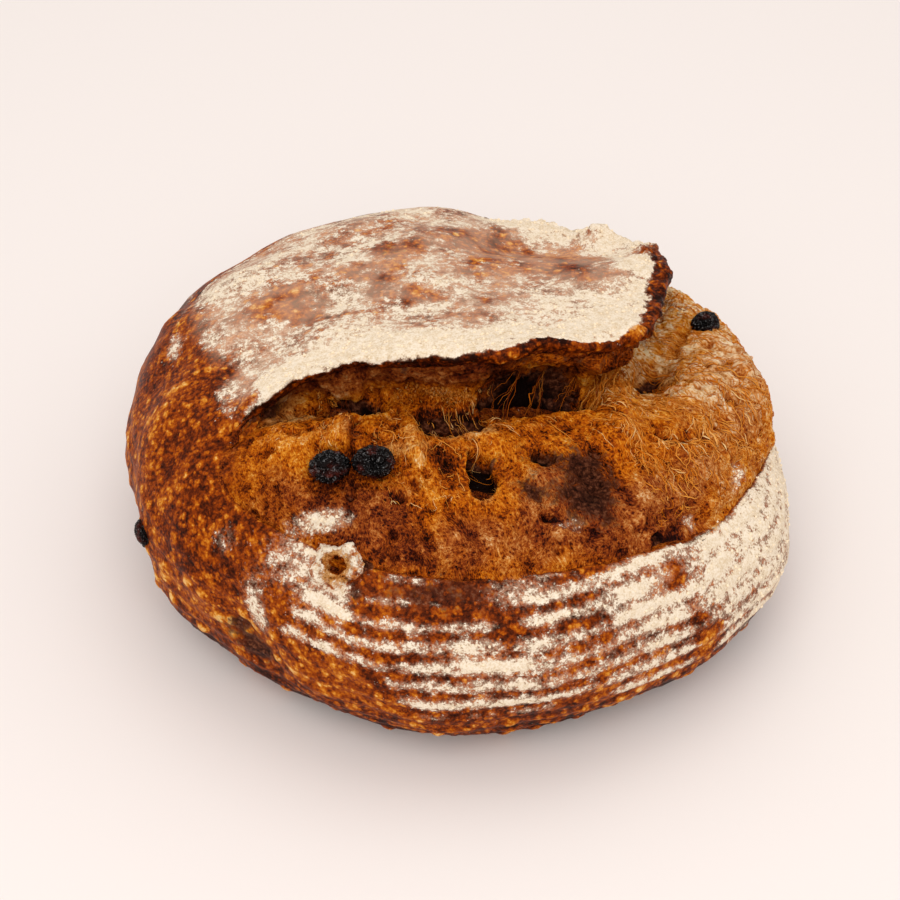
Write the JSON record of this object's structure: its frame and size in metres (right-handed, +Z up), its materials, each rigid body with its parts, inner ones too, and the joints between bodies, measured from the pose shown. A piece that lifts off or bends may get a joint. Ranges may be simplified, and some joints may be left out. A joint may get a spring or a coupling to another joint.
{
  "type": "sourdough loaf",
  "caption": "Round crusty sourdough loaf with a lifted flap of crust over torn open crumb, dried fruit set in it, and a flat base to stand on.",
  "frame": {"origin": "centre of the loaf's bounding box in plan, on its flat base", "axes": "+Z up out of the base, -Y towards the open torn side, +X to the right as seen from that side"},
  "size_m": [0.2374, 0.2436, 0.1109],
  "materials": {
    "crust": "dry baked crust, matt, dusted with flour",
    "raisin": "wrinkled dried fruit, slight sheen"
  },
  "bodies": {
    "root": {"loaf": "crust", "raisin_left": "raisin", "raisin_right": "raisin", "raisin_back": "raisin", "raisin_side": "raisin"}
  },
  "joints": []
}
